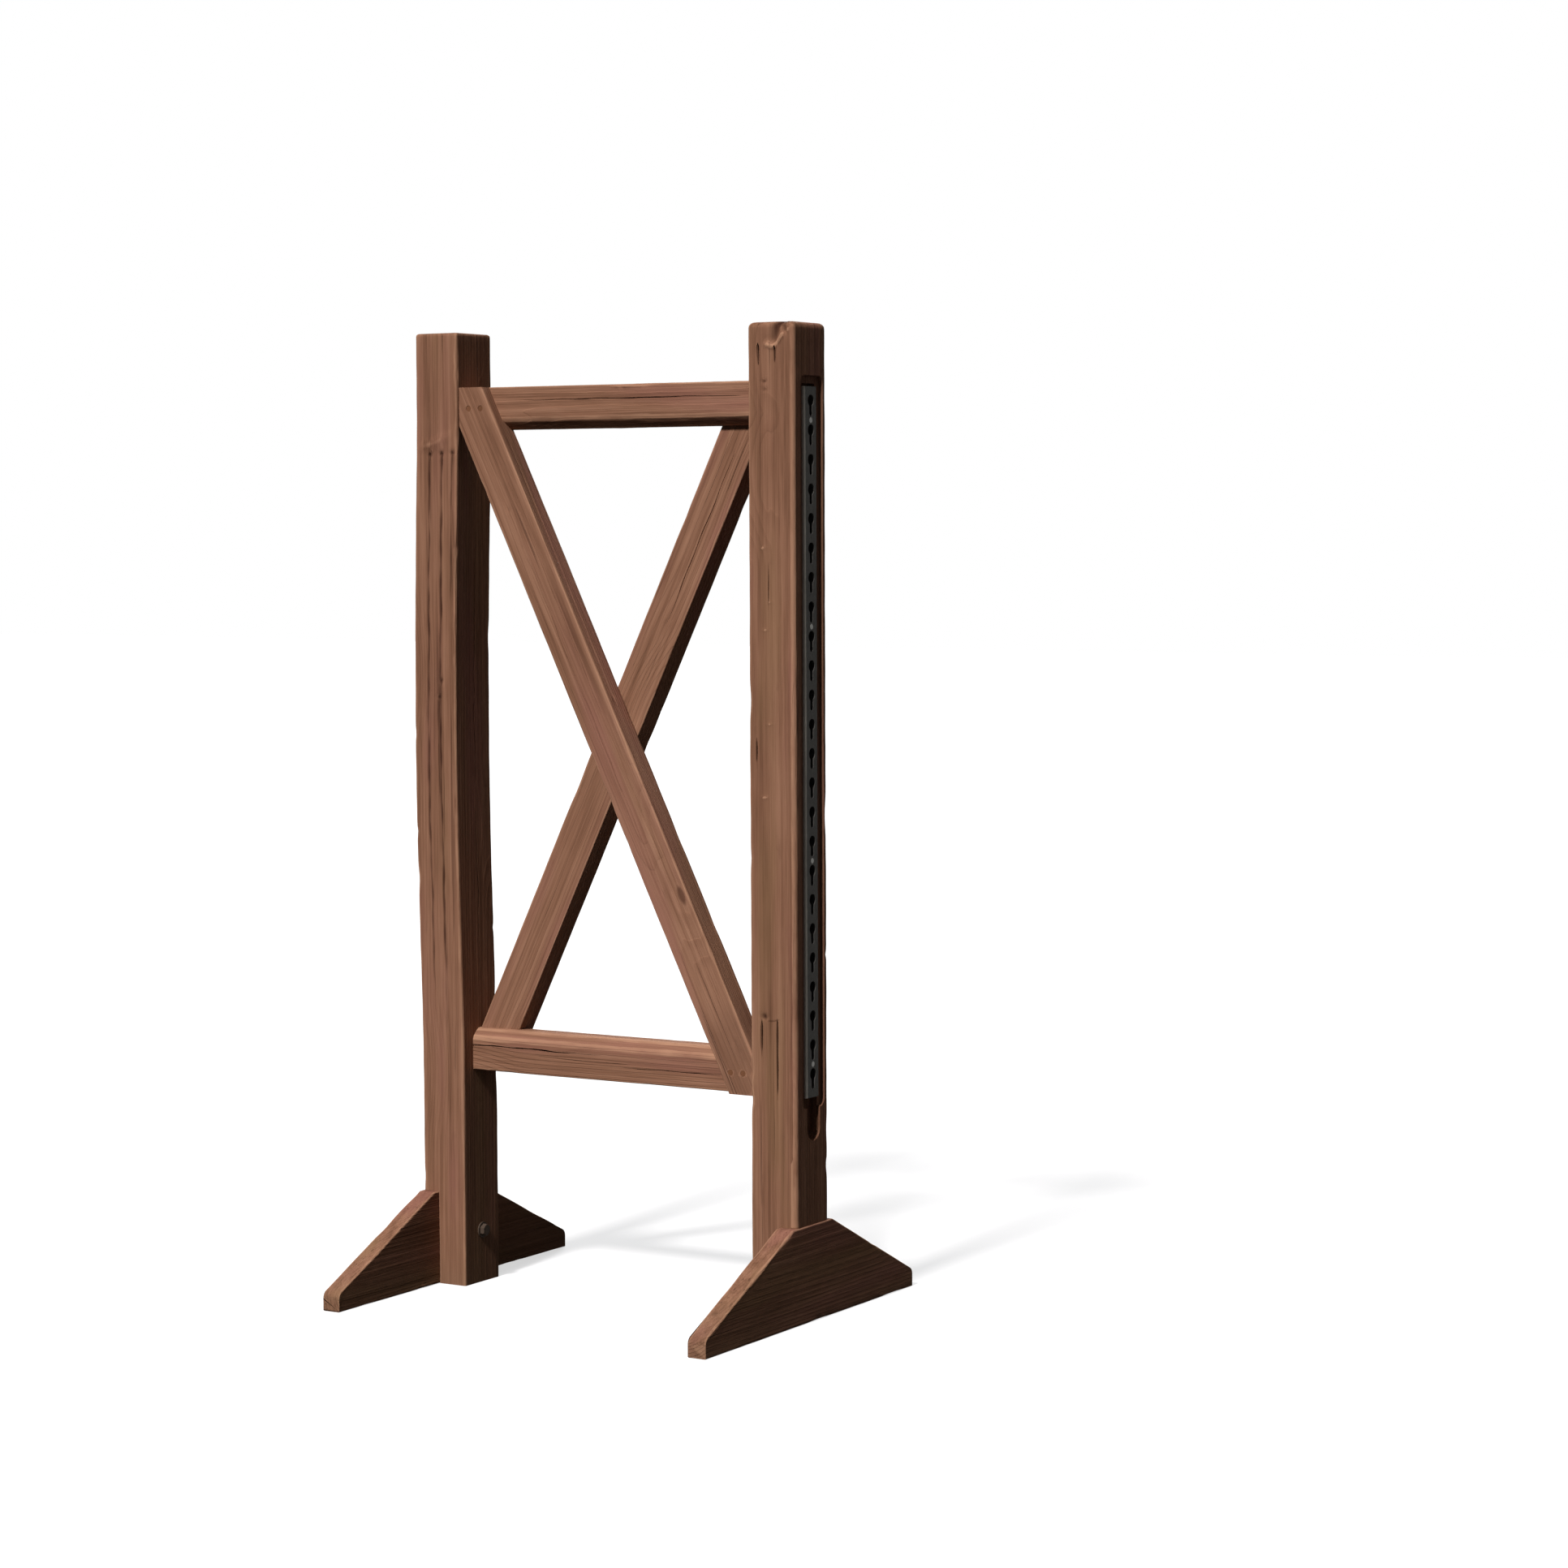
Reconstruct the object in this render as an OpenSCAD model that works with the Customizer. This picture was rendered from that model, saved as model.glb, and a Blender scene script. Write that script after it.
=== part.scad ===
// Show jump wing: two stout timber posts on feet, joined by two rails and a crossed pair of braces.
// A keyhole track let into one post takes the cups that carry the poles.
// X runs along the wing, the front faces -Y, Z is up, and the origin is on the ground at the centre.

/* [Posts] */
// Width of the posts across the front
post_w = 90; // [80:1:105]
// Depth of the posts from front to back
post_d = 105; // [95:1:120]
// Height of the posts
post_h = 1710; // [1600:5:1900]
// Bevel that eases the long edges and the tops of the posts
post_ease = 4; // [1:0.5:8]

/* [Rails and braces] */
// Clear width of the bay between the posts
bay_w = 605; // [450:5:800]
// Face width of the rails and braces
bar_h = 75; // [65:1:90]
// Thickness of the rails and braces
bar_t = 47; // [36:1:48]
// Bevel that eases the edges of the rails and braces
bar_ease = 2; // [0.5:0.5:4]
// Bevel along the inner front edge of each rail
rail_bevel = 16; // [6:1:20]
// Drop from the tops of the posts to the top rail
top_drop = 97; // [80:1:160]
// Height of the bottom rail's underside above the ground
low_rail_z = 390; // [300:5:450]
// Set-back of the front brace behind the front of the posts
front_set = 6; // [2:1:12]
// Distance by which the braces lean less far across than the bay is wide
brace_steep = 15; // [0:1:40]

/* [Feet] */
// Length of each foot
foot_len = 700; // [500:5:900]
// Height of each foot
foot_h = 168; // [140:1:220]
// Thickness of the foot board
foot_t = 35; // [33:1:45]
// Length of the flat on top of the foot
foot_top = 132; // [110:1:180]
// Height of the upright nose at each end of the foot
foot_nose = 32; // [20:1:60]
// Radius that rounds the top of each nose
foot_nose_r = 14; // [4:1:18]
// Depth by which the foot is let into its post
foot_let_in = 33; // [10:1:33]

/* [Keyhole track] */
// Furthest that the track may run below the underside of the bottom rail
track_reach = 10; // [2:1:40]
// Distance from one keyhole to the next
hole_pitch = 50; // [46:1:52]
// Diameter of the round part of a keyhole
key_d = 20; // [16:0.5:24]
// Width of the slot below the round part
key_slot_w = 10; // [6:0.5:12]
// Height of a whole keyhole
key_h = 36; // [32:1:38]
// Width of the track channel
track_w = 42; // [36:1:46]
// Depth of the track channel
track_d = 20; // [14:1:25]
// Thickness of the sheet that the track channel is folded from
track_wall = 3; // [2:0.5:4]
// Inside radius of the folds in the track channel
track_fold = 2; // [0.5:0.5:4]
// Drop from the top of the post to the top of the track
track_drop = 108; // [100:1:150]
// Set-back of the track behind the middle of its post
track_set = 6; // [-6:1:6]
// Depth of the track's face below the face of the post
track_sink = 1; // [0.5:0.5:3]

/* [Recess for the track] */
// Width of the shallow recess round the track
recess_w = 73; // [60:1:80]
// Depth of the shallow recess
recess_d = 7; // [3:0.5:10]
// Corner radius of the shallow recess
recess_r = 14; // [6:1:18]
// Length of the recess beyond each end of the track
recess_margin = 18; // [10:1:30]
// Gap above the track's end in its groove
groove_gap = 5; // [2:1:8]
// Length by which the groove runs on below the track
groove_run = 75; // [40:1:110]

/* [Fixings] */
// Shank diameter of the coach screws that hold the feet
coach_d = 12; // [8:1:14]
// Timber left beyond the point of a coach screw
coach_cover = 6; // [3:1:20]
// Width across the flats of a coach screw's head
coach_af = 19; // [16:1:22]
// Height of a coach screw's head
coach_head_h = 8; // [5:0.5:10]
// Height of the coach screws above the ground
coach_z = 95; // [70:1:110]
// Diameter of the washer under a coach screw
washer_d = 28; // [24:1:36]
// Thickness of that washer
washer_t = 2.5; // [1:0.5:4]
// Diameter of the dowels between the rails and the posts
dowel_d = 14; // [10:1:16]
// Length of those dowels, half in the rail and half in the post
dowel_len = 80; // [60:2:90]
// Bevel at both ends of a dowel
dowel_ease = 1.5; // [0.5:0.5:2.5]
// Diameter of the countersunk screws in the braces
brace_screw_d = 5; // [4:0.5:6]
// Length of the countersunk screws at the ends of the braces
brace_screw_len = 50; // [40:1:52]
// Length of the countersunk screws where the braces cross
cross_screw_len = 68; // [60:1:70]
// Head diameter of the countersunk screws in the braces
brace_screw_head_d = 10; // [8:0.5:12]
// Diameter of the countersunk screws in the track
track_screw_d = 5; // [4:0.5:5.5]
// Length of the countersunk screws in the track
track_screw_len = 45; // [40:1:48]
// Head diameter of the countersunk screws in the track
track_screw_head_d = 9.6; // [8:0.2:10]

/* [Hidden] */

// Smoothness of round things
$fn = 48;
// Overrun that carries every cut clear of the solid
over = 10;
// Clearance on each side of a fixing in its hole
snug = 0.15;
// Clearance on each side of the track in its groove
track_clear = 0.3;
// Room beyond each end of a dowel in its hole
dowel_room = 1;
// Depth by which a countersunk head sits below the timber
countersink = 0.5;

// Places of the dowels, as shares of the rail's thickness and height from its middle
dowel_y_share = 0.18;
dowel_z_share = 0.24;
// Places of the two brace screws, as shares of the brace's end width from the post
brace_screw_shares = [0.3, 0.68];
// Places of the two screws at the crossing, as a share of the bar's width above and below it
cross_screw_share = 0.3;
// Keyholes that have a track screw in the web below them, as shares of the row
track_screw_shares = [0, 0.32, 0.68, 1];
// Length of a screw's point as a share of its diameter
point_share = 1.2;

post_x = (bay_w + post_w) / 2;
outer_x = bay_w / 2 + post_w;
front_y = -post_d / 2;

top_z = post_h - top_drop;
frame_h = top_z - low_rail_z;
mid_z = (top_z + low_rail_z) / 2;
rail_reach_z = (frame_h - bar_h) / 2;
brace_angle = atan((bay_w - brace_steep) / frame_h);

lap_y = front_y + front_set + bar_t;
rail_front_y = lap_y - bar_t / 2;
brace_front_y = lap_y - bar_t;
brace_back_y = lap_y + bar_t;

// Width of a brace measured level, and of its end above the middle of the rail
brace_level_w = bar_h / cos(brace_angle);
brace_end_w = brace_level_w / 2 + bar_h / 2 * tan(brace_angle) + brace_steep / 2;

key_web = hole_pitch - key_h;
track_top_z = post_h - track_drop;
// Number of keyholes, as many as fit from the top of the track to the bottom rail
hole_count = floor((track_top_z - low_rail_z + track_reach - key_web) / hole_pitch);
track_len = hole_count * hole_pitch + key_web;
track_face_x = outer_x - track_sink;
groove_d = track_sink + track_d;
groove_w = track_w + 2 * track_clear;
groove_top_z = track_top_z + groove_gap;
groove_low_z = track_top_z - track_len - groove_run;

foot_inner_x = outer_x - foot_let_in;
coach_len = washer_t + post_w + foot_t - foot_let_in - coach_cover;
dowel_y = bar_t * dowel_y_share;
dowel_z = bar_h * dowel_z_share;
cross_screw_z = bar_h * cross_screw_share;

timber = [0.47, 0.32, 0.25];
bare_wood = [0.76, 0.62, 0.45];
grey_metal = [0.36, 0.36, 0.36];
zinc = [0.66, 0.67, 0.68];
stained_metal = [0.36, 0.24, 0.19];

// Height of the round centre of a keyhole, the first at the top
function key_z(i) = track_top_z - key_web - key_d / 2 - i * hole_pitch;

// Height of the web below a keyhole
function web_z(i) = track_top_z - (i + 1) * hole_pitch - key_web / 2;

// Keyhole whose web takes the track screw at a share of the row
function screw_key(share) = round(share * (hole_count - 2));

// Rectangle about the origin with its four corners bevelled alike
module eased_rect(w, h, ease) {
    polygon([
        [-w / 2 + ease, -h / 2], [w / 2 - ease, -h / 2],
        [w / 2, -h / 2 + ease], [w / 2, h / 2 - ease],
        [w / 2 - ease, h / 2], [-w / 2 + ease, h / 2],
        [-w / 2, h / 2 - ease], [-w / 2, -h / 2 + ease]
    ]);
}

// Upright rectangle from the origin with its two top corners bevelled
module topped_rect(w, h, ease) {
    polygon([
        [-w / 2, 0], [w / 2, 0], [w / 2, h - ease],
        [w / 2 - ease, h], [-w / 2 + ease, h], [-w / 2, h - ease]
    ]);
}

// Runs an outline drawn in Y and Z along X, about the middle
module along_x(length) {
    rotate([90, 0, 90]) linear_extrude(length, center = true) children();
}

// Runs an outline drawn in X and Z along Y, about the middle
module along_y(length) {
    rotate([90, 0, 0]) linear_extrude(length, center = true) children();
}

// Countersunk screw along +Z from the flat of its head, grown by a clearance for its hole
module countersunk_screw(d, length, head_d, grow = 0) {
    r = d / 2 + grow;
    head_r = head_d / 2 + grow;
    rotate_extrude() polygon([
        [0, 0], [head_r, 0], [r, head_r - r], [r, length - d * point_share], [0, length + grow]
    ]);
}

// Dowel about the origin along Z, with both ends bevelled
module dowel() {
    r = dowel_d / 2;
    reach = dowel_len / 2;
    rotate_extrude() polygon([
        [0, -reach], [r - dowel_ease, -reach], [r, -reach + dowel_ease],
        [r, reach - dowel_ease], [r - dowel_ease, reach], [0, reach]
    ]);
}

// Hole for one dowel, in the rail and the post alike
module dowel_hole() {
    cylinder(d = dowel_d + 2 * snug, h = dowel_len + 2 * dowel_room, center = true);
}

// Shank of a coach screw along +Z from the underside of its head, grown by a clearance for its hole
module coach_screw(grow = 0) {
    rotate_extrude() polygon([
        [0, 0], [coach_d / 2 + grow, 0],
        [coach_d / 2 + grow, coach_len - coach_d * point_share], [0, coach_len + grow]
    ]);
}

// Puts children on the plain post's side for -1 and on the track post's side for 1
module on_side(side) {
    if (side < 0) mirror([1, 0, 0]) children();
    else children();
}

// Puts children at the foot's coach screw on the +X side, running outwards from under the head
module at_coach() {
    translate([bay_w / 2 - washer_t, 0, coach_z]) rotate([0, 90, 0]) children();
}

// Puts children at both dowels of one rail end on the +X side, about the post's inner face
module at_dowels(end) {
    for (way = [-1, 1])
        translate([bay_w / 2, lap_y + way * dowel_y, mid_z + end * rail_reach_z - way * dowel_z])
            rotate([0, 90, 0]) children();
}

// Puts children at the front brace's four end screws, running backwards from its front face
module at_front_brace_screws() {
    for (end = [-1, 1], share = brace_screw_shares) {
        x = end * (brace_end_w * share - bay_w / 2);
        z = mid_z + end * rail_reach_z;
        translate([x, brace_front_y + countersink, z]) rotate([-90, 0, 0]) children();
    }
}

// Puts children at the back brace's four end screws, running forwards from its back face
module at_back_brace_screws() {
    for (end = [-1, 1], share = brace_screw_shares) {
        x = end * (bay_w / 2 - brace_end_w * share);
        z = mid_z + end * rail_reach_z;
        translate([x, brace_back_y - countersink, z]) rotate([90, 0, 0]) children();
    }
}

// Puts children at the screws through the crossing, running forwards from the back brace
module at_cross_screws() {
    for (way = [-1, 1])
        translate([0, brace_back_y - countersink, mid_z + way * cross_screw_z]) rotate([90, 0, 0]) children();
}

// Cuts an outline drawn in Y and Z about the track's centre line into the track post's outer face
module at_depth(depth) {
    translate([outer_x + over / 2 - depth / 2, track_set, 0]) along_x(depth + over) children();
}

// Puts children at the track's screws, running inwards from its face
module at_track_screws() {
    for (share = track_screw_shares)
        translate([track_face_x, track_set, web_z(screw_key(share))]) rotate([0, -90, 0]) children();
}

// Clear way for a countersunk screw out of the surface that it was driven through
module way_out(head_d) {
    translate([0, 0, -over]) cylinder(d = head_d + 2 * snug, h = over);
}

// Hole for one brace screw
module brace_screw_hole(length) {
    countersunk_screw(brace_screw_d, length, brace_screw_head_d, snug);
    way_out(brace_screw_head_d);
}

// Post about its own centre line, with eased edges and top
module post_blank() {
    intersection() {
        linear_extrude(post_h) eased_rect(post_w, post_d, post_ease);
        along_x(post_w) topped_rect(post_d, post_h, post_ease);
        along_y(post_d) topped_rect(post_w, post_h, post_ease);
    }
}

// Post on the +X side with the housing for its foot and all its fixing holes
module drilled_post() {
    difference() {
        translate([post_x, 0, 0]) post_blank();
        translate([foot_inner_x, -post_d, -over]) cube([foot_let_in + over, 2 * post_d, foot_h + over]);
        at_coach() coach_screw(snug);
        for (end = [-1, 1]) at_dowels(end) dowel_hole();
    }
}

// Outline of the shallow recess round the track, with round corners
module recess_outline() {
    low = track_top_z - track_len - recess_margin;
    high = track_top_z + recess_margin;
    across = recess_w / 2 - recess_r;
    translate([-recess_w / 2, low + recess_r]) square([recess_w, high - low - 2 * recess_r]);
    translate([-across, low]) square([2 * across, high - low]);
    for (side = [-across, across], z = [low + recess_r, high - recess_r])
        translate([side, z]) circle(recess_r);
}

// Outline of the groove that holds the track, square above and round where it runs out below
module groove_outline() {
    round_z = groove_low_z + groove_w / 2;
    translate([-groove_w / 2, round_z]) square([groove_w, groove_top_z - round_z]);
    translate([0, round_z]) circle(d = groove_w);
}

// Rail seen along X, about the middle of its section, with the inner front edge bevelled
module rail_outline() {
    t = bar_t / 2;
    h = bar_h / 2;
    polygon([
        [-t + bar_ease, -h], [t - bar_ease, -h], [t, -h + bar_ease], [t, h - bar_ease],
        [t - bar_ease, h], [-t + rail_bevel, h], [-t, h - rail_bevel], [-t, -h + bar_ease]
    ]);
}

// Shape that a rail takes out of a brace, open on the rail's outer side and away from the brace
module lap_outline(side) {
    t = bar_t / 2;
    h = bar_h / 2;
    bevel = side < 0 ? rail_bevel : 0;
    inner = side * t;
    polygon([
        [inner, -h - over], [-side * (bar_t + over), -h - over], [-side * (bar_t + over), h],
        [inner - side * bevel, h], [inner, h - bevel]
    ]);
}

// Puts a rail outline's children at the bottom rail for -1 and, turned over, at the top rail for 1
module at_rail(end) {
    translate([0, lap_y, mid_z + end * rail_reach_z]) mirror([0, 0, end > 0 ? 1 : 0]) children();
}

// Rail between the posts with the holes of its dowels and of the brace screws
module rail(end) {
    difference() {
        at_rail(end) along_x(bay_w) rail_outline();
        for (side = [-1, 1]) on_side(side) at_dowels(end) dowel_hole();
        at_front_brace_screws() brace_screw_hole(brace_screw_len);
        at_back_brace_screws() brace_screw_hole(brace_screw_len);
    }
}

// Brace along one diagonal of the bay, trimmed to the posts and rails and halved over both rails;
// the children are the holes of its end screws
module brace(side, lean) {
    difference() {
        intersection() {
            translate([0, lap_y + side * bar_t / 2, mid_z]) rotate([0, lean * brace_angle, 0])
                linear_extrude(2 * frame_h, center = true) eased_rect(bar_h, bar_t, bar_ease);
            translate([-bay_w / 2, -post_d, low_rail_z]) cube([bay_w, 2 * post_d, frame_h]);
        }
        for (end = [-1, 1]) at_rail(end) along_x(bay_w + over) lap_outline(side);
        at_cross_screws() brace_screw_hole(cross_screw_len);
        children();
    }
}

// Foot seen along X: flat on top, sloping to an upright nose at each end that is rounded above
module foot_outline() {
    nose = foot_len / 2;
    flat = foot_top / 2;
    slope = atan((foot_h - foot_nose) / (nose - flat));
    tangent = foot_nose_r * tan((90 - slope) / 2);
    turn_y = nose - tangent * cos(slope);
    turn_z = foot_nose + tangent * sin(slope);
    polygon([
        [-nose, 0], [nose, 0], [nose, foot_nose - tangent], [turn_y, turn_z],
        [flat, foot_h], [-flat, foot_h], [-turn_y, turn_z], [-nose, foot_nose - tangent]
    ]);
    intersection() {
        translate([-nose, 0]) square([foot_len, foot_h]);
        for (end = [-1, 1]) translate([end * (nose - foot_nose_r), foot_nose - tangent]) circle(foot_nose_r);
    }
}

// Foot board on the +X side with the coach screw's hole
module foot() {
    difference() {
        translate([foot_inner_x + foot_t / 2, 0, 0]) along_x(foot_t) foot_outline();
        at_coach() coach_screw(snug);
    }
}

// Keyhole seen along X, about the centre of its round part
module keyhole_outline() {
    slot_len = key_h - key_d / 2 - key_slot_w / 2;
    circle(d = key_d);
    translate([-key_slot_w / 2, -slot_len]) square([key_slot_w, slot_len]);
    translate([0, -slot_len]) circle(d = key_slot_w);
}

// One skin of the folded channel seen along Z, from the web at the origin towards -X
module skin_outline(w, depth, r) {
    across = w / 2 - r;
    translate([-depth, -w / 2]) square([depth - r, w]);
    translate([-r, -across]) square([r, 2 * across]);
    for (side = [-across, across]) translate([-r, side]) circle(r);
}

// Section of the track channel, folded from sheet and open towards -X
module channel_outline() {
    difference() {
        skin_outline(track_w, track_d, track_fold + track_wall);
        translate([-track_wall, 0]) skin_outline(track_w - 2 * track_wall, track_d, track_fold);
    }
}

// Hexagon head with its corners turned off, standing below zero, fused to its coach screw
module headed_coach_screw() {
    corner_r = coach_af / 2 / cos(30);
    chamfer = corner_r - coach_af / 2;
    coach_screw();
    intersection() {
        translate([0, 0, -coach_head_h]) cylinder(r = corner_r, h = coach_head_h, $fn = 6);
        rotate_extrude() polygon([
            [0, -coach_head_h], [coach_af / 2, -coach_head_h],
            [corner_r, -coach_head_h + chamfer], [corner_r, 0], [0, 0]
        ]);
    }
}

module plain_post() {
    color(timber) on_side(-1) drilled_post();
}

module track_post() {
    color(timber) difference() {
        drilled_post();
        at_depth(recess_d) recess_outline();
        at_depth(groove_d) groove_outline();
        at_track_screws() countersunk_screw(track_screw_d, track_screw_len, track_screw_head_d, snug);
    }
}

module top_rail() { color(timber) rail(1); }

module bottom_rail() { color(timber) rail(-1); }

module front_brace() {
    color(timber) brace(-1, -1) at_front_brace_screws() brace_screw_hole(brace_screw_len);
}

module back_brace() {
    color(timber) brace(1, 1) at_back_brace_screws() brace_screw_hole(brace_screw_len);
}

module plain_foot() { color(timber) on_side(-1) foot(); }

module track_foot() { color(timber) foot(); }

module keyhole_track() {
    color(grey_metal) difference() {
        translate([track_face_x, track_set, track_top_z - track_len])
            linear_extrude(track_len) channel_outline();
        for (i = [0 : hole_count - 1])
            translate([track_face_x, track_set, key_z(i)])
                along_x(2 * track_wall + over) keyhole_outline();
        at_track_screws() {
            countersunk_screw(track_screw_d, track_screw_len, track_screw_head_d, snug);
            way_out(track_screw_head_d);
        }
    }
}

module track_screws() {
    color(zinc) at_track_screws() countersunk_screw(track_screw_d, track_screw_len, track_screw_head_d);
}

module foot_washer() {
    at_coach() difference() {
        cylinder(d = washer_d, h = washer_t);
        translate([0, 0, -over]) cylinder(d = coach_d + 2 * snug, h = washer_t + 2 * over);
    }
}

module plain_foot_coach_screw() { color(zinc) on_side(-1) at_coach() headed_coach_screw(); }

module plain_foot_washer() { color(zinc) on_side(-1) foot_washer(); }

module track_foot_coach_screw() { color(zinc) at_coach() headed_coach_screw(); }

module track_foot_washer() { color(zinc) foot_washer(); }

// Dowels of one rail end, on the plain post's side for -1 and the track post's for 1
module rail_end_dowels(end, side) { color(bare_wood) on_side(side) at_dowels(end) dowel(); }

module top_rail_plain_dowels() { rail_end_dowels(1, -1); }

module top_rail_track_dowels() { rail_end_dowels(1, 1); }

module bottom_rail_plain_dowels() { rail_end_dowels(-1, -1); }

module bottom_rail_track_dowels() { rail_end_dowels(-1, 1); }

module front_brace_screws() {
    color(stained_metal) at_front_brace_screws()
        countersunk_screw(brace_screw_d, brace_screw_len, brace_screw_head_d);
}

module back_brace_screws() {
    color(stained_metal) at_back_brace_screws()
        countersunk_screw(brace_screw_d, brace_screw_len, brace_screw_head_d);
}

module cross_screws() {
    color(stained_metal) at_cross_screws()
        countersunk_screw(brace_screw_d, cross_screw_len, brace_screw_head_d);
}

plain_post();
track_post();
top_rail();
bottom_rail();
front_brace();
back_brace();
plain_foot();
track_foot();
keyhole_track();
track_screws();
plain_foot_coach_screw();
plain_foot_washer();
track_foot_coach_screw();
track_foot_washer();
top_rail_plain_dowels();
top_rail_track_dowels();
bottom_rail_plain_dowels();
bottom_rail_track_dowels();
front_brace_screws();
back_brace_screws();
cross_screws();
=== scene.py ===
"""Looks of the show jump wing: weathered stained timber, a dull folded track and its fixings."""
import math

import bmesh
import bpy
import numpy as np
from mathutils import Matrix, Vector


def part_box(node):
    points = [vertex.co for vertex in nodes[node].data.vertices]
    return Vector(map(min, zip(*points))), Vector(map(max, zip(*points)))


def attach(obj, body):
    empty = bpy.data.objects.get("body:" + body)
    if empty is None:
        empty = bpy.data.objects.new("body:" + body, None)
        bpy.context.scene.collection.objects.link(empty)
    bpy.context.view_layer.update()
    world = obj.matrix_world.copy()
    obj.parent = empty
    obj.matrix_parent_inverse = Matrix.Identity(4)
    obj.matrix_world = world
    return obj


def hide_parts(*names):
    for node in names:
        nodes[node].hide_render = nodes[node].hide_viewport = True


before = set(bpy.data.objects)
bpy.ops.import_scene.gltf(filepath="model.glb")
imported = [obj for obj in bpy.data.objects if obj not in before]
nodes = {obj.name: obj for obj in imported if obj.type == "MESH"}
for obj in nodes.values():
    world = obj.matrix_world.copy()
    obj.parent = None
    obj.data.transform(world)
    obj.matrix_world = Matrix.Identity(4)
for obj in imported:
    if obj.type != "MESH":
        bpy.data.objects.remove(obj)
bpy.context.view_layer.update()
MM = 0.001
X, Y, Z = np.eye(3)


def span(node):
    """Lowest and highest corner of a node, as arrays."""
    low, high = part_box(node)
    return np.array(low), np.array(high)


# Sizes read from the frame
plain_low, plain_high = span("plain_post")
top_low, top_high = span("top_rail")
bottom_low, bottom_high = span("bottom_rail")
front_low, front_high = span("front_brace")
strip_low, strip_high = span("keyhole_track")
_, (_, nose, foot_top) = span("track_foot")
half_w, half_d = (plain_high[0] - plain_low[0]) / 2, (plain_high[1] - plain_low[1]) / 2
half_h, half_t = (top_high[2] - top_low[2]) / 2, (front_high[1] - front_low[1]) / 2
post_top = plain_high[2]
track_face = span("track_post")[1][0]
bay = top_high[0]
frame_mid = (top_high[2] + bottom_low[2]) / 2
strip_y, strip_half = (strip_low[1] + strip_high[1]) / 2, (strip_high[1] - strip_low[1]) / 2

# Sizes of the joinery that the frame's boxes don't tell
RAIL_BEVEL = 16 * MM
BRACE_STEEPER = 15 * MM
BRACE_HALF_LENGTH = 0.72
FOOT_FLAT = 66 * MM
NOSE_HEIGHT = 32 * MM
NOSE_RADIUS = 14 * MM
RECESS_HALF, RECESS_MARGIN, RECESS_CORNER = 36.5 * MM, 18 * MM, 14 * MM
GROOVE_HALF, GROOVE_BELOW, GROOVE_ABOVE = 21.3 * MM, 75 * MM, 5 * MM
# Walls of the recess from its floor outwards: distance from the post's face, and how much wider it is there
RECESS_WALL = ((-7 * MM, 0.0), (-1.2 * MM, 0.0), (0.2 * MM, 1.2 * MM), (8 * MM, 9 * MM))
# Room around a screw head and behind its face, and how far its hole reaches outwards
HEAD_ROOM, HEAD_COVER = 0.3 * MM, 8 * MM
# Usual radius of the edges, the rounder edges of bevels and track post, and the eased tops of the posts
PLAIN_ARRIS, TRACK_ARRIS, RAIL_ARRIS, BRACE_ARRIS, FOOT_ARRIS = (
    3.2 * MM, 3.4 * MM, 2.2 * MM, 2.3 * MM, 2.4 * MM)
LOW_BEVEL_ROUND, TOP_BEVEL_ROUND, TRACK_ROUND = 14 * MM, 15 * MM, 7 * MM
PLAIN_EASE, TRACK_EASE = 5 * MM, 9 * MM
# How far a cutting tool reaches past what it cuts, and where that is in front of and behind the wing
PAST = 20 * MM
REACH = half_d + PAST

# Camera, fitted to the photograph on the built sizes
CAMERA_PLACE = (3.6839, -5.5865, 1.3760)
YAW, PITCH, ROLL = math.radians(30.91), math.radians(3.96), math.radians(-0.23)
FOCAL_PIXELS, PHOTO_PIXELS = 4697.05, 1932
SENSOR_WIDTH = 36

# Side of a post's or brace's section that lies in front
FRONT = 0
# Depth, darkness and wear of a place without a mark
UNMARKED = (0.0, 0.0, 0.0)

# Knots in the plain post's front, in mm: place across, height and size, depth, and the streak below each
PLAIN_KNOTS = ((30, 1495, 3.6), (56, 1497, 4.2), (79, 1498, 3.4), (58, 1092, 4.2), (54, 1062, 3.6))
KNOT_DEEP, STREAK_WIDE, STREAK_LONG = 2.4, 2.4, 110
# Ledge above the upper knots, with a painted highlight, in mm: path across and up, size, rows it can reach
LEDGE = ((8, 1508), (44, 1516), (82, 1534))
LEDGE_WIDE, LEDGE_PROUD = 9.0, 1.7
LEDGE_LOW, LEDGE_HIGH = 1480, 1560
# Stretch of the plain post that is bowed outwards, and how far
BOW_LOW, BOW_HIGH, BOW = 0.427, 1.575, 10 * MM

# Torn-out knot in the track post's front, in mm across and below the top: two tears, a lip and nail holes
TEAR = ((62, -4), (54, 10), (50, 27))
TEAR_WIDE, TEAR_DEEP = 8.0, 9.0
SIDE_TEAR = ((66, -4), (72, 14))
SIDE_TEAR_WIDE = 5.0
LIP = ((68, 21), (60, 33), (50, 43), (37, 38))
LIP_WIDE, LIP_PROUD = 3.4, 2.8
LIP_END, LIP_END_WIDE = (79, 14), 4.5
NAILS = ((33, 100), (34, 114))
NAIL_WIDE, HOLE_DEEP = 3.2, 3.0
# Resin drops on the same side: place across in mm and height, and their size in mm
RESIN = ((28, 1.329), (41, 1.237), (32, 1.190), (41, 1.030), (30, 0.905))
RESIN_WIDE, RESIN_PROUD = 2.6, 1.3
# Low knot, the split beside it and the rubbed line below, in mm across and below the top
LOW_KNOT, LOW_KNOT_WIDE = (27, 1180), 5.0
LOW_SPLIT = ((27, 1180), (40, 1188), (53, 1185))
LOW_SPLIT_WIDE = 1.8
RUBBED_FROM, RUBBED_AT, RUBBED_WIDE = 1425, 80.5, 2.6
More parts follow.
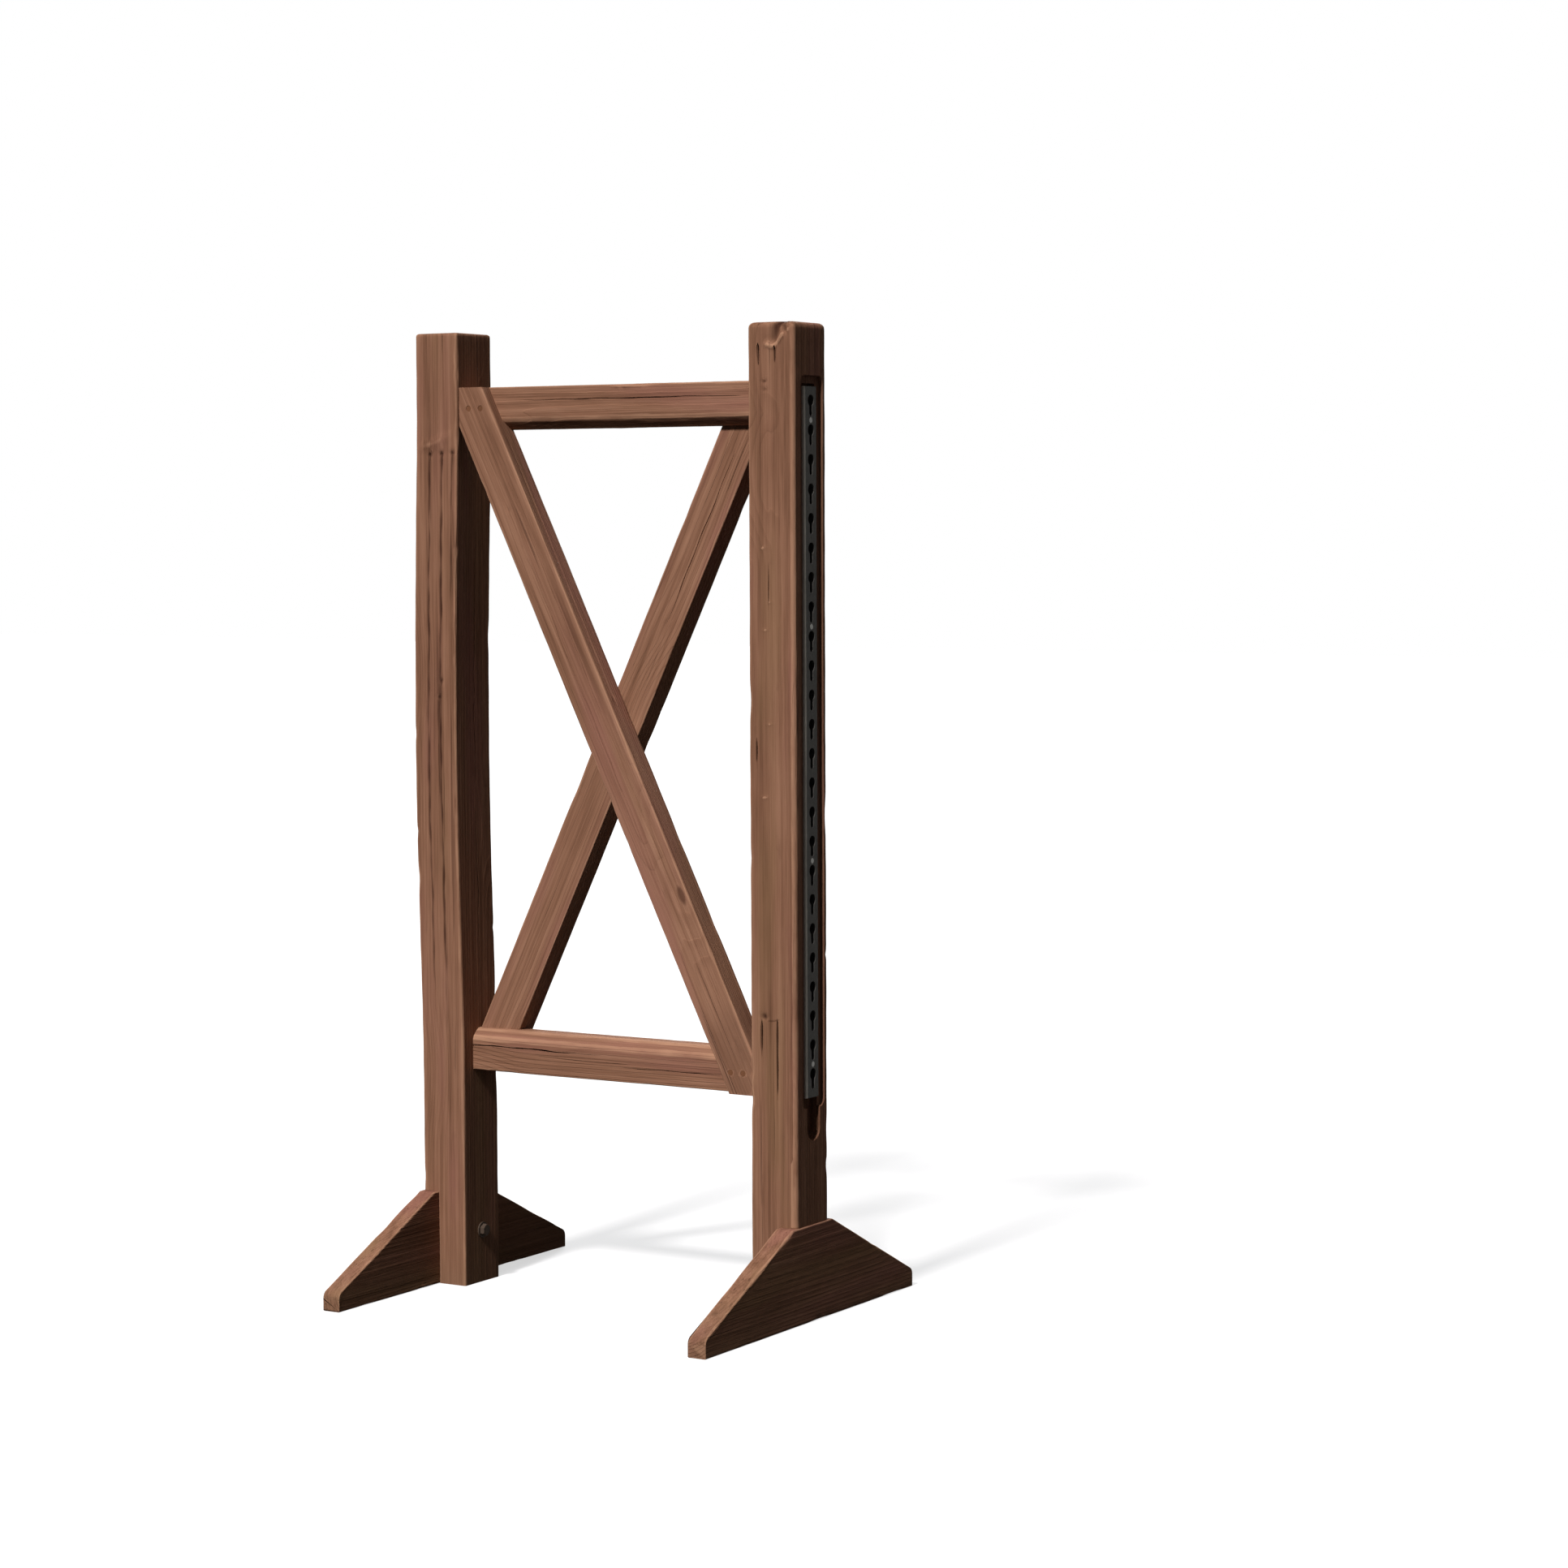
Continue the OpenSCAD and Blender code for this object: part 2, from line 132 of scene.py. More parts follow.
# Where the torn knot's marks end and the low ones begin, in mm below the top
TEAR_END, LOW_MARKS = 130, 1160

# Where the stain that gathered at a brace's lower end begins, and over what length it darkens
STAIN_FROM, STAIN_OVER = -0.46, 0.10


def linear(red, green, blue):
    """A colour given in 8-bit display values, as the shader wants it."""
    def value(part):
        part /= 255
        return part / 12.92 if part <= 0.04045 else ((part + 0.055) / 1.055) ** 2.4
    return (value(red), value(green), value(blue), 1.0)


def bell(away, wide):
    """1 at the middle of a mark, falling off to 0 around it."""
    return math.exp(-(away / wide) ** 2)


class Waves:
    """Smooth, repeatable unevenness from -1 to 1, made of a few sine waves of the given lengths."""

    def __init__(self, seed, lengths):
        rng = np.random.default_rng(seed)
        self.terms = [(2 * math.pi / length, rng.uniform(0, 2 * math.pi), rng.uniform(-2, 2))
                      for length in lengths]

    def at(self, run, across=0.0):
        total = sum(np.sin(rate * (run + lean * across) + phase) for rate, phase, lean in self.terms)
        return total / len(self.terms)


def add_object(name, data):
    made = bpy.data.objects.new(name, data)
    bpy.context.scene.collection.objects.link(made)
    return made


def smooth(piece, angle=32):
    """Smooth shading that breaks at the sharp edges and leaves the cut faces flat."""
    mesh = piece.data
    mesh.polygons.foreach_set("use_smooth", [len(face.vertices) < 5 for face in mesh.polygons])
    mesh.set_sharp_from_angle(angle=math.radians(angle))


class Check:
    """A drying check in one side of a timber.

    at is its place across in mm, runs its stretches along the timber, wide and deep its size in mm, drift how
    far it wanders in mm, blunt the share of a run in which it closes at the far end, and dark how dark it is.
    """
    # Its columns of points: their place across in widths, and how much of the depth they have
    COLUMNS = {-1.6: 0.0, -1.0: 0.35, -0.45: 1.0, 0.45: 1.0, 1.0: 0.35, 1.6: 0.0}
    TAPER = 0.3
    LEAST_WIDTH = 0.25

    def __init__(self, side, at, runs, wide, deep, drift=1.2, blunt=0.3, dark=1.0):
        self.side, self.at, self.runs, self.wide, self.deep = side, at, runs, wide, deep
        self.drift, self.blunt, self.dark = drift, blunt, dark

    def opening(self, run, wander):
        """How far it is open, from 0 to 1."""
        for start, end in self.runs:
            share = (run - start) / (end - start)
            if 0 < share < 1:
                ends = min(1, share / self.TAPER, (1 - share) / self.blunt)
                return math.sin(math.pi / 2 * ends) ** 0.5 * (0.75 + 0.25 * wander.at(run * 1.7 + 3.1))
        return 0.0

    def column(self, step, run, wander):
        """Sideways place from its middle, depth and darkness of one of its columns of points."""
        opening = self.opening(run, wander)
        wide = max(self.wide * opening, self.LEAST_WIDTH)
        share = self.COLUMNS[step] * opening
        return (wander.at(run) * self.drift + step * wide) * MM, self.deep * share * MM, self.dark * share


def corner_of(corners, i):
    """A corner of a section, the next one, the ways into and out of it, and the angle of its turn."""
    here, before, after = corners[i], corners[i - 1], corners[(i + 1) % len(corners)]
    way_in = (here - before) / np.linalg.norm(here - before)
    way_out = (after - here) / np.linalg.norm(after - here)
    turn = math.acos(np.clip(way_in @ way_out, -1, 1))
    return here, after, way_in, way_out, turn


def stack_faces(rows, columns):
    """Faces of a closed stack of rings: the strips between them and a cap at each end."""
    faces = []
    for row in range(rows - 1):
        here, above = row * columns, (row + 1) * columns
        for k in range(columns):
            after = (k + 1) % columns
            faces.append((here + k, here + after, above + after, above + k))
    faces.append(tuple(reversed(range(columns))))
    faces.append(tuple((rows - 1) * columns + k for k in range(columns)))
    return faces


class Timber:
    """One timber: rounded, uneven sections along its length.

    place is the origin, the two section axes and the length axis. outline(run) gives the corners of the
    section, and stations the rows as pairs of length and inset. arris is the usual radius of the edges, and
    rounds gives larger ones by corner. cell is the usual width of a face in mm, and closer gives finer ones
    by side. swell is the unevenness of the sides in mm. dips(side, at, run) gives depth, darkness and wear
    of the marks in a side, the darkness partly painted shade and the wear partly painted highlight, and
    sway(run) the bow of the whole timber.
    """
    ARC_STEPS = 4
    CHIPS = 5
    # Room a check keeps clear of other columns; reach of wear and painted highlight over a side and an end
    CHECK_ROOM, WORN_STRIP, WORN_END = 5.5 * MM, 9 * MM, 8 * MM

    def __init__(self, place, outline, stations, seed, arris, cell=7, swell=0.45, checks=(), dips=None,
                 closer=None, sway=None, rounds=None):
        self.place, self.outline, self.stations, self.arris = place, outline, stations, arris
        self.swell, self.checks, self.dips, self.sway = swell, checks, dips, sway
        self.rounds = rounds or {}
        corners = outline(stations[len(stations) // 2][0])
        self.sides = range(len(corners))
        rng = np.random.default_rng(seed)
        first, last = stations[0][0], stations[-1][0]
        self.chips = [[(rng.uniform(first, last), rng.uniform(6, 26) * MM, rng.uniform(0.3, 1.5))
                       for _ in range(self.CHIPS)] for _ in self.sides]
        self.worn = [Waves(seed * 31 + i, (0.07, 0.19, 0.43, 0.9)) for i in self.sides]
        self.bow = [Waves(seed * 57 + i, (0.16, 0.37, 0.8)) for i in self.sides]
        self.rough = [Waves(seed * 91 + i, (0.023, 0.041, 0.067)) for i in self.sides]
        self.wander = [Waves(seed * 131 + k, (0.09, 0.21, 0.5)) for k in range(len(checks))]
        sizes = closer or {}
        self.columns = [self.side_columns(corners, i, sizes.get(i, cell)) for i in self.sides]

    def taken(self, corners, i):
        """The most that a rounded corner takes from a side."""
        radius = 1.3 * self.rounds[i] if i in self.rounds else 2.25 * self.arris
        return radius * math.tan(corner_of(corners, i)[4] / 2)

    def side_columns(self, corners, i, cell):
        """Columns of points in a side: share of the side, number of its check or None, and step in that."""
        after = (i + 1) % len(corners)
        long = np.linalg.norm(corners[after] - corners[i])
        start, end = self.taken(corners, i) / long, 1 - self.taken(corners, after) / long
        number = max(2, round(long * (end - start) / (cell * MM)) + 1)
        columns = [(float(share), None, 0.0) for share in np.linspace(start, end, number)]
        for k, check in enumerate(self.checks):
            if check.side == i:
                middle = check.at * MM / long
                columns = [column for column in columns
                           if column[1] is not None or abs(column[0] - middle) * long > self.CHECK_ROOM]
                columns += [(middle, k, step) for step in Check.COLUMNS]
        return sorted(columns, key=lambda column: (column[0], column[2]))

    def radius(self, i, run):
        """Radius of an edge, uneven and larger where it is chipped."""
        if i in self.rounds:
            return self.rounds[i] * (1 + 0.25 * self.worn[i].at(run))
        radius = self.arris * (1 + 0.35 * self.worn[i].at(run))
        radius += sum(self.arris * more * bell(run - at, wide) for at, wide, more in self.chips[i])
        return min(radius, 2.2 * self.arris)

    def edge_points(self, corners, i, run, shrink):
        """Points around one rounded edge."""
        here, _, way_in, _, turn = corner_of(corners, i)
        radius = self.radius(i, run) * shrink
        normal = np.array([-way_in[1], way_in[0]])
        centre = here - way_in * radius * math.tan(turn / 2) + normal * radius
        points = []
        for k in range(self.ARC_STEPS + 1):
            swing = turn * k / self.ARC_STEPS
            spin = np.array([[math.cos(swing), -math.sin(swing)], [math.sin(swing), math.cos(swing)]])
            points.append(centre - spin @ normal * radius)
        return points

    def side_points(self, corners, i, run):
        """Points across one side, each with wear and painted highlight, and darkness, partly painted shade.
        """
        here, after, _, way_out, _ = corner_of(corners, i)
        inward = np.array([-way_out[1], way_out[0]])
        long = np.linalg.norm(after - here)
        points = []
        for share, k, step in self.columns[i]:
            at, deep, dark, wear_and_highlight = share * long, 0.0, 0.0, 0.0
            if k is not None:
                aside, deep, dark = self.checks[k].column(step, run, self.wander[k])
                at += aside
            deep -= self.swell * MM * (0.7 * self.bow[i].at(run, at) + 0.3 * self.rough[i].at(run, at))
            if self.dips:
                hollow, shade, wear_and_highlight = self.dips(i, at / MM, run)
                deep += hollow * MM
                dark = max(dark, shade)
            # Paler towards the arrises: wear, and a painted highlight along them
            near = min(at, long - at)
            wear_and_highlight = max(wear_and_highlight, 0.6 * (1 - near / self.WORN_STRIP))
            points.append((here + way_out * at + inward * deep, wear_and_highlight, dark))
        return points

    def row(self, run, inset):
        """Points of one section, each with wear and painted highlight, and darkness, partly painted shade."""
        corners, shrink = self.outline(run), 1.0
        if inset:
            middle = corners.mean(axis=0)
            reach = np.abs(corners - middle).max(axis=0)
            shrink = 1 - inset / reach.min()
            corners = middle + (corners - middle) * (1 - inset / reach)
        handled = bell(inset, self.WORN_END)
        points = []
        for i in self.sides:
            # The rounded edges count as fully worn: wear, and a painted highlight along the arrises
            points += [(point, handled, 0.0) for point in self.edge_points(corners, i, run, shrink)]
            for point, wear_and_highlight, dark in self.side_points(corners, i, run):
                points.append((point, handled * wear_and_highlight, dark))
        return points

    def build(self, name):
        """The closed mesh, with two values per point: how worn it is, with painted highlight on the edges,
        and how dark in a check or hollow, partly painted shade.
        """
        origin, across, up, along = self.place
        rows = [self.row(run, inset) for run, inset in self.stations]
        runs = [run for run, _ in self.stations]
        sections = np.array([[point for point, _, _ in row] for row in rows])
        if self.sway:
            sections += np.array([self.sway(run) for run in runs])[:, None]
        lengths = np.array(runs)[:, None, None]
        points = origin + sections[..., 0:1] * across + sections[..., 1:2] * up + lengths * along
        mesh = bpy.data.meshes.new(name)
        mesh.from_pydata(points.reshape(-1, 3).tolist(), [], stack_faces(*sections.shape[:2]))
        for part, label in ((1, "edge"), (2, "check")):
            values = np.array([[point[part] for point in row] for row in rows], np.float32)
            mesh.attributes.new(label, "FLOAT", "POINT").data.foreach_set("value", values.ravel())
        return add_object(name, mesh)


def even(low, high, step, finer=()):
    """Rows from low to high at about one step in mm, with closer rows in the stretches of finer."""
    marks = set(np.round(np.linspace(low, high, max(2, round((high - low) / (step * MM)) + 1)), 6))
    for start, end, close in finer:
        marks |= set(np.round(np.arange(start, end, close * MM), 6))
    least_gap = 1.2 * MM
    kept = []
    for mark in sorted(marks):
        if not kept or mark - kept[-1] > least_gap:
            kept.append(mark)
    return [(float(mark), 0.0) for mark in kept]


def prism(name, layers):
    """Closed solid through a stack of outlines with the same number of points, each a list of 3D points."""
    points = [tuple(point) for layer in layers for point in layer]
    mesh = bpy.data.meshes.new(name)
    mesh.from_pydata(points, [], stack_faces(len(layers), len(layers[0])))
    made = bmesh.new()
    made.from_mesh(mesh)
    bmesh.ops.recalc_face_normals(made, faces=made.faces)
    made.to_mesh(mesh)
    made.free()
    return add_object(name, mesh)


def block(name, low, high):
    (x0, y0, z0), (x1, y1, z1) = low, high
    return prism(name, [[(x0, y0, z), (x1, y0, z), (x1, y1, z), (x0, y1, z)] for z in (z0, z1)])


def shape(piece, tool, operation="DIFFERENCE"):
    """Cuts one solid with another, which goes away."""
    change = piece.modifiers.new("shape", "BOOLEAN")
    change.object = tool
    change.operation = operation
    change.solver = "EXACT"
    depsgraph = bpy.context.evaluated_depsgraph_get()
    mesh = bpy.data.meshes.new_from_object(piece.evaluated_get(depsgraph), depsgraph=depsgraph)
    piece.modifiers.clear()
    spent = (piece.data, tool.data)
    piece.data = mesh
    mesh.name = piece.name
    bpy.data.objects.remove(tool)
    for old in spent:
        bpy.data.meshes.remove(old)


def arc(centre, radius, start, end, number):
    """Points on an arc, with the angles in degrees."""
    turns = [math.radians(start + (end - start) * k / number) for k in range(number + 1)]
    return [(centre[0] + radius * math.cos(turn), centre[1] + radius * math.sin(turn)) for turn in turns]


def recess_points(grow):
    """Outline of the track's recess in Y and Z with four rounded corners, wider by grow."""
    radius = RECESS_CORNER + grow
    side = RECESS_HALF + grow - radius
    low = strip_low[2] - RECESS_MARGIN - grow + radius
    high = strip_high[2] + RECESS_MARGIN + grow - radius
    points = []
    for start, centre in ((-90, (strip_y + side, low)), (0, (strip_y + side, high)),
                          (90, (strip_y - side, high)), (180, (strip_y - side, low))):
        points += arc(centre, radius, start, start + 90, 8)
    return points


def groove_points():
    """Outline of the deeper groove behind the track in Y and Z, square above and round below."""
    low, high = strip_low[2] - GROOVE_BELOW, strip_high[2] + GROOVE_ABOVE
    square = [(strip_y + GROOVE_HALF, high), (strip_y - GROOVE_HALF, high)]
    return square + arc((strip_y, low + GROOVE_HALF), GROOVE_HALF, 180, 360, 24)


def loose_boxes(node):
    """Lowest and highest corner of each separate solid of a node."""
    made = bmesh.new()
    made.from_mesh(nodes[node].data)
    bmesh.ops.remove_doubles(made, verts=made.verts, dist=1e-6)
    left, boxes = set(made.verts), []
    while left:
        stack, found = [left.pop()], []
        while stack:
            point = stack.pop()
            found.append(nodes[node].matrix_basis @ point.co)
            for edge in point.link_edges:
                other = edge.other_vert(point)
                if other in left:
                    left.remove(other)
                    stack.append(other)
        boxes.append((np.min(found, axis=0), np.max(found, axis=0)))
    made.free()
    return sorted(boxes, key=lambda box: tuple(np.round(box[0], 5)))


def bare_heads(piece, node, side):
    """Opens round holes in a timber's front (-1) or back (1), so that the screw heads below its skin show."""
    for low, high in loose_boxes(node):
        middle, radius = (low + high) / 2, (high[0] - low[0]) / 2
        rim = arc((middle[0], middle[2]), radius + HEAD_ROOM, 0, 360, 32)[:-1]
        head = high[1] if side > 0 else low[1]
        depths = (head - side * HEAD_ROOM, head + side * HEAD_COVER)
        shape(piece, prism("head", [[(x, y, z) for x, z in rim] for y in depths]))


def along_path(point, path):
    """Distance from a point to a bent path, and how far along it the nearest place lies, from 0 to 1."""
    point, path = np.array(point), np.array(path)
    best = (1e9, 0.0)
    for k in range(len(path) - 1):
        step = path[k + 1] - path[k]
        share = np.clip((point - path[k]) @ step / (step @ step), 0, 1)
        away = float(np.linalg.norm(point - path[k] - share * step))
        best = min(best, (away, (k + float(share)) / (len(path) - 1)))
    return best


class Graph:
    """The node tree of a material or world, written as expressions."""

    def __init__(self, owner):
        owner.use_nodes = True
        self.owner, self.tree = owner, owner.node_tree
        self.tree.nodes.clear()

    def node(self, kind, inputs=None, **settings):
        made = self.tree.nodes.new(kind)
        for key, value in settings.items():
            setattr(made, key, value)
        for key, value in (inputs or {}).items():
            if isinstance(value, bpy.types.NodeSocket):
                self.tree.links.new(value, made.inputs[key])
            else:
                made.inputs[key].default_value = value
        return made

    def math(self, operation, *values):
        return self.node("ShaderNodeMath", dict(enumerate(values)), operation=operation).outputs[0]

    def add_up(self, start, *parts):
        """A start value and other values, each times its weight."""
        for value, weight in parts:
            start = self.math("MULTIPLY_ADD", value, weight, start)
        return start

    def vector(self, operation, *values):
        made = self.node("ShaderNodeVectorMath", dict(enumerate(values)), operation=operation)
        return made.outputs["Value" if operation in ("DOT_PRODUCT", "LENGTH") else "Vector"]

    def noise(self, place, stretch, shift, detail=2.0, roughness=0.5):
        """Noise with so many waves per metre along each axis; shift gives each timber its own."""
        moved = self.vector("MULTIPLY_ADD", place, stretch, (shift * 1.37, shift * 2.91, shift * 0.71))
        made = self.node("ShaderNodeTexNoise", {"Vector": moved, "Scale": 1.0, "Detail": detail,
                                                "Roughness": roughness})
        return made.outputs[0]

    def step(self, value, low, high, start=0.0, end=1.0):
        made = self.node("ShaderNodeMapRange", {0: value, 1: low, 2: high, 3: start, 4: end},
                         interpolation_type="SMOOTHSTEP")
        return made.outputs[0]

    def ramp(self, value, stops):
        made = self.node("ShaderNodeValToRGB", {0: value})
        marks = made.color_ramp.elements
        while len(marks) < len(stops):
            marks.new(0.5)
        for mark, (at, colour) in zip(marks, stops):
            mark.position = at
            mark.color = colour
        return made.outputs[0]

    def mix(self, share, first, second):
        made = self.node("ShaderNodeMix", {0: share, 6: first, 7: second}, data_type="RGBA")
        return made.outputs[2]

    def attribute(self, name):
        return self.node("ShaderNodeAttribute", attribute_name=name).outputs["Fac"]

    def seen(self):
        """1 for what the camera or a mirror image shows, 0 for light that only falls on something."""
        path = self.node("ShaderNodeLightPath").outputs
        shown = self.math("MAXIMUM", path["Is Camera Ray"], path["Is Glossy Ray"])
        return self.math("MAXIMUM", shown, path["Is Transmission Ray"])

    def surface(self, shader, kind="ShaderNodeOutputMaterial"):
        self.node(kind, {"Surface": shader.outputs[0]})
        return self.owner

    def finish(self, colour, roughness, height, depth, metallic, specular):
        bump = self.node("ShaderNodeBump", {"Height": height, "Strength": 1.0, "Distance": depth})
        return self.surface(self.node("ShaderNodeBsdfPrincipled", {
            "Base Color": colour, "Roughness": roughness, "Metallic": metallic,
            "Specular IOR Level": specular, "Normal": bump.outputs[0]}))


# Colours of the stained timber, from dark to pale, and of what changes them
STAIN = ((0.0, linear(72, 46, 34)), (0.28, linear(106, 74, 56)), (0.52, linear(132, 95, 74)),
         (0.78, linear(152, 113, 90)), (1.0, linear(174, 135, 110)))
RED_STAIN = linear(143, 96, 85)
OLIVE_STAIN = linear(130, 102, 72)
DARK_STAIN = linear(92, 63, 49)
KNOT_BROWN = linear(72, 45, 34)
SLIT_BROWN = linear(74, 48, 37)
# Darkest in checks and holes, and painted shade in the torn knot's gouge
CHECK_AND_SHADE_BROWN = linear(56, 33, 25)
# Pale where the stain is worn off, and a painted highlight on arrises, the torn knot's lip and the ledge
WORN_AND_HIGHLIT_WOOD = linear(182, 140, 112)
SPLASHED = linear(112, 90, 68)
GRIME = linear(88, 74, 60)
# Pale at the track's folded edges: rubbing, and a painted highlight on the front fold
RUBBED_AND_HIGHLIT_ZINC = linear(206, 198, 186)
# One growth ring from early to late wood, and the number of rings in a metre
RING = ((0.0, (0, 0, 0, 1)), (0.45, (0.12, 0.12, 0.12, 1)), (0.86, (1, 1, 1, 1)),
        (0.94, (0.9, 0.9, 0.9, 1)), (1.0, (0, 0, 0, 1)))
RINGS = 175.0
TIMBER_RELIEF, METAL_RELIEF = 1.1 * MM, 0.12 * MM


def timber_material(name, place, seed, heart, tint, shade):
    """Stained sawn softwood: growth rings around its heart, fibre, patches, knots, checks and worn edges."""
    graph = Graph(bpy.data.materials.new(name))
    origin, across, up, along = place
    where = graph.node("ShaderNodeTexCoord").outputs["Object"]
    local = graph.vector("SUBTRACT", where, tuple(origin))
    parts = [graph.vector("DOT_PRODUCT", local, tuple(axis)) for axis in (across, up, along)]
    grain = graph.node("ShaderNodeCombineXYZ", dict(enumerate(parts))).outputs[0]

    fibre = graph.noise(grain, (480, 480, 8), seed, 3, 0.65)
    streak = graph.noise(grain, (85, 85, 1.5), seed + 5, 3, 0.6)
    band = graph.noise(grain, (22, 22, 0.8), seed + 9)
    patch = graph.noise(grain, (11, 11, 3.4), seed + 13, 3, 0.6)
    blotch = graph.noise(grain, (26, 26, 9), seed + 17, 4, 0.65)
    hue = graph.noise(grain, (16, 16, 1.9), seed + 23)
    slit = graph.step(graph.noise(grain, (150, 150, 2.1), seed + 29), 0.67, 0.74)
    rub = graph.noise(grain, (60, 60, 14), seed + 31, 3, 0.6)

    cell = graph.vector("MULTIPLY_ADD", grain, (6.5, 6.5, 2.4), (seed * 0.83, seed * 1.31, seed * 0.47))
    from_knot = graph.node("ShaderNodeTexVoronoi", {"Vector": cell, "Scale": 1.0}).outputs["Distance"]
    knot = graph.step(from_knot, 0.055, 0.025)
    push = graph.step(from_knot, 0.42, 0.05)

    flat = graph.vector("MULTIPLY", grain, (1, 1, 0))
    from_heart = graph.vector("LENGTH", graph.vector("SUBTRACT", flat, (*heart, 0)))
    bent = graph.add_up(from_heart, (band, 0.016), (push, 0.018))
    late = graph.ramp(graph.math("FRACT", graph.math("MULTIPLY", bent, RINGS)), RING)

    tone = graph.add_up(shade - 0.45, (streak, 0.86), (fibre, 0.56), (patch, 0.50), (late, -0.07))
    colour = graph.ramp(tone, STAIN)
    colour = graph.mix(graph.step(hue, 0.52, 0.72, 0, 0.45), colour, RED_STAIN)
    colour = graph.mix(graph.step(hue, 0.48, 0.30, 0, 0.42 + tint), colour, OLIVE_STAIN)
    colour = graph.mix(graph.step(blotch, 0.60, 0.82, 0, 0.34), colour, DARK_STAIN)
    colour = graph.mix(graph.math("MULTIPLY", knot, 0.70), colour, KNOT_BROWN)
    colour = graph.mix(graph.math("MULTIPLY", slit, 0.42), colour, SLIT_BROWN)

    # Paler on worn arrises and marks: wear, and a painted highlight on arrises, lip and ledge
    worn = graph.step(graph.add_up(graph.attribute("edge"), (rub, 0.9)), 1.1, 1.7)
    colour = graph.mix(graph.math("MULTIPLY", worn, 0.6), colour, WORN_AND_HIGHLIT_WOOD)
    # Darker in checks, knots and hollows; in the torn knot's gouge partly painted shade
    colour = graph.mix(graph.step(graph.attribute("check"), 0.05, 0.9, 0, 0.9), colour, CHECK_AND_SHADE_BROWN)
    height = graph.node("ShaderNodeSeparateXYZ", {0: where}).outputs[2]
    splash = graph.step(graph.add_up(height, (blotch, 0.16)), 0.20, 0.06, 0, 0.3)
    colour = graph.mix(splash, colour, SPLASHED)

    rough = graph.add_up(0.60, (patch, 0.22))
    relief = graph.add_up(0.0, (fibre, 0.6), (late, 0.35), (streak, 0.9), (slit, -0.8))
    return graph.finish(colour, rough, relief, TIMBER_RELIEF, metallic=0.0, specular=0.015)


def metal_material(name, base, seed, metallic, rough, spangle, grime, rubbed_highlit_folds=None):
    """Zinc with spangle and grime. rubbed_highlit_folds is the middle and half width of a strip whose folded
    edges are paler, as rubbing and as a painted highlight, the front one most.
    """
    graph = Graph(bpy.data.materials.new(name))
    where = graph.node("ShaderNodeTexCoord").outputs["Object"]
    cloud = graph.noise(where, (34, 34, 11), seed, 4, 0.6)
    speck = graph.noise(where, (310, 310, 240), seed + 3, 3, 0.7)
    scratch = graph.noise(where, (700, 700, 26), seed + 7)
    moved = graph.vector("MULTIPLY", where, (160, 160, 120))
    crystal = graph.node("ShaderNodeTexVoronoi", {"Vector": moved, "Scale": 1.0}).outputs["Color"]
    grey = graph.node("ShaderNodeSeparateColor", {0: crystal}).outputs[0]
    tone = graph.add_up(0.0, (grey, spangle), (cloud, 0.8), (speck, 0.3))
    dark = tuple(value * 0.55 for value in base[:3]) + (1,)
    pale = tuple(min(1, value * 1.5) for value in base[:3]) + (1,)
    colour = graph.ramp(tone, [(0.25, dark), (0.55, base), (0.95, pale)])
    colour = graph.mix(graph.step(speck, 0.60, 0.74, 0, grime), colour, GRIME)
    if rubbed_highlit_folds:
        middle, half = rubbed_highlit_folds
        aside = graph.math("SUBTRACT", graph.node("ShaderNodeSeparateXYZ", {0: where}).outputs[1], middle)
        outer, inner = half - 1.8 * MM, half - 3.6 * MM
        # Folded edges paler, the front one most: rubbing, and a painted highlight on the lit front fold
        front_fold_rub_and_highlight = graph.step(aside, -inner, -outer, 0, 0.9)
        back_fold_rub_and_highlight = graph.step(aside, inner, outer, 0, 0.2)
        colour = graph.mix(graph.math("MAXIMUM", front_fold_rub_and_highlight, back_fold_rub_and_highlight), colour, RUBBED_AND_HIGHLIT_ZINC)
    uneven = graph.add_up(rough - 0.12, (cloud, 0.25))
    relief = graph.add_up(speck, (scratch, 0.3))
    return graph.finish(colour, uneven, relief, METAL_RELIEF, metallic=metallic, specular=0.02)


def square_outline(half_u, half_v):
    corners = np.array([(-half_u, -half_v), (half_u, -half_v), (half_u, half_v), (-half_u, half_v)])
    return lambda run: corners


def post_rows(ease, finer):
    """Rows up a post, ending in its rounded-over, hardly domed top."""
    dome, insets = 0.1 * MM, (14, 26, 38)
    rows = even(0.0, post_top - ease - 1 * MM, 9, finer)
    for swing in (20, 45, 70, 90):
        turn = math.radians(swing)
        rows.append((post_top - ease + ease * math.sin(turn), ease * (1 - math.cos(turn))))
    for inset in insets:
        rows.append((post_top - dome * (inset / insets[-1]), inset * MM))
    return rows


def post(node, foot_node, rows, seed, arris, **details):
    """A post, housed for its foot, and its place."""
    low, high = span(node)
    place = ((low + high) / 2 * (1, 1, 0), X, Y, Z)
    outline = square_outline(half_w, half_d)
    piece = Timber(place, outline, rows, seed, arris, **details).build(node + "_timber")
    foot_low, foot_high = span(foot_node)
    shape(piece, block("housing", (foot_low[0], -REACH, -PAST), (foot_high[0], REACH, foot_high[2])))
    return piece, place


def plain_bow(run):
    """The plain post stands a little bowed outwards between the rails."""
    share = (run - BOW_LOW) / (BOW_HIGH - BOW_LOW)
    return np.array((-BOW * math.sin(math.pi * share) ** 1.3 if 0 < share < 1 else 0.0, 0.0))


